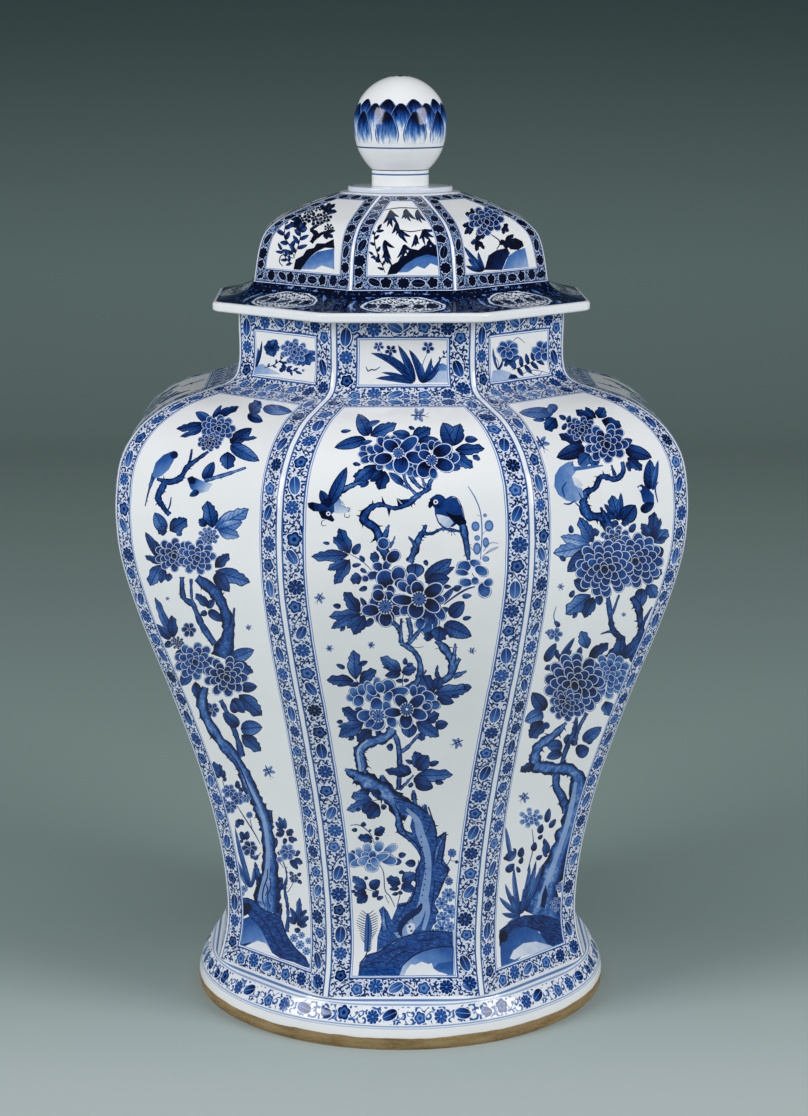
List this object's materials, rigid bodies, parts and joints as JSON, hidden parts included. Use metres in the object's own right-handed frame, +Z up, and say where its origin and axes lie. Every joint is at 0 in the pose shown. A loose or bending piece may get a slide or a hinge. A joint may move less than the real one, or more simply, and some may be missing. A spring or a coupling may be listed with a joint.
{
  "type": "lidded baluster vase",
  "caption": "Octagonal porcelain baluster jar with a spreading foot, high shoulder, short neck and a domed lid with a round knob, painted in blue under a clear glaze.",
  "frame": {"origin": "centre of the standing foot, on the plane it stands on", "axes": "+Z up the axis of the vase towards the knob; one flat side faces -Y"},
  "size_m": [0.36, 0.36, 0.6],
  "materials": {
    "painted_glaze": "cobalt painting under a clear, faintly blue, glossy glaze",
    "plain_glaze": "clear, faintly blue, glossy glaze on white porcelain",
    "bare_clay": "bare fired porcelain, matt and toasted buff"
  },
  "bodies": {
    "vase": {"foot_ring": "painted_glaze", "base_disc": "plain_glaze", "lower_body": "painted_glaze", "upper_body": "painted_glaze", "neck": "painted_glaze"},
    "lid": {"lid_flange": "painted_glaze", "lid_dome": "painted_glaze", "lid_collar": "bare_clay", "knob_plinth": "plain_glaze", "knob_stem": "plain_glaze", "knob_ball": "painted_glaze"}
  },
  "joints": [
    {"name": "lid_lift", "type": "slide", "parent": "vase", "child": "lid", "axis": [0, 0, 1], "range_m": [0, 0.12]}
  ]
}
